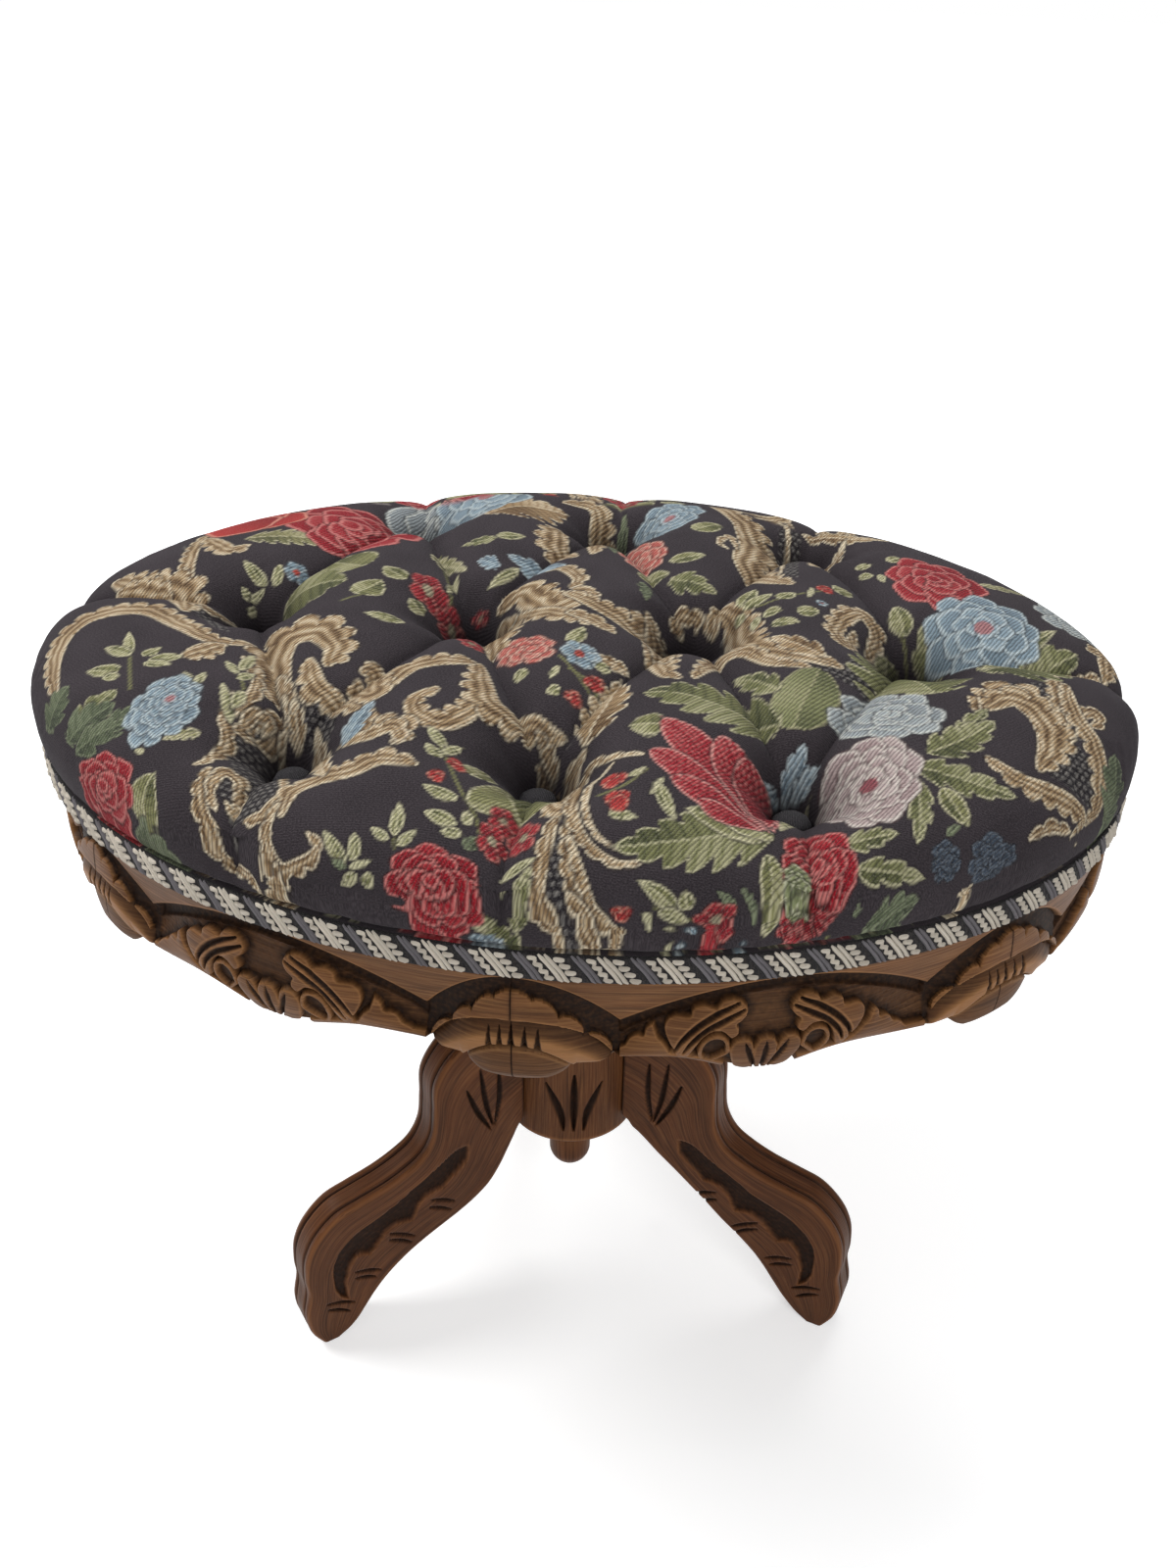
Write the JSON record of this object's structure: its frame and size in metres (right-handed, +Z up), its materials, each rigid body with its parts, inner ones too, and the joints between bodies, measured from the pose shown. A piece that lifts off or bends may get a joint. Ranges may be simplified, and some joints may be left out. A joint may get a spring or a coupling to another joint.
{
  "type": "pedestal pouf",
  "caption": "Oval deep-buttoned upholstered pouf with a braided edge and a carved wooden apron, on a turned column with splayed cabriole legs.",
  "frame": {"origin": "on the floor, under the middle of the oval seat and the axis of the column", "axes": "+X along the long axis of the seat, +Y towards its back, +Z up"},
  "size_m": [0.586, 0.426, 0.47],
  "materials": {
    "tapestry": "dark chenille tapestry with a traditional floral pattern",
    "foam": "open foam",
    "button_cloth": "cloth-covered",
    "twine": "waxed",
    "braid": "flat woven braid in cream and charcoal bands",
    "plain_board": "raw board",
    "plain_wood": "planed, raw",
    "carved_walnut": "carved, stained dark in the recesses, satin lacquer",
    "dark_walnut": "carved, dark stain, satin lacquer",
    "screw_brass": "dull"
  },
  "bodies": {
    "root": {"tufted_cover": "tapestry", "foam_pad": "foam", "covered_buttons": "button_cloth", "button_twine": "twine", "seat_board": "plain_board", "braid_trim": "braid", "top_board": "plain_board", "apron_segment_1": "carved_walnut", "apron_segment_2": "carved_walnut", "apron_segment_3": "carved_walnut", "apron_segment_4": "carved_walnut", "apron_segment_5": "carved_walnut", "apron_segment_6": "carved_walnut", "glue_blocks": "plain_wood", "mounting_cleat": "plain_wood", "cleat_screws": "screw_brass", "seat_screws": "screw_brass", "column": "dark_walnut", "finial": "dark_walnut", "leg_front_left": "dark_walnut", "leg_front_right": "dark_walnut", "leg_rear": "dark_walnut", "leg_dowels": "plain_wood"}
  },
  "joints": []
}
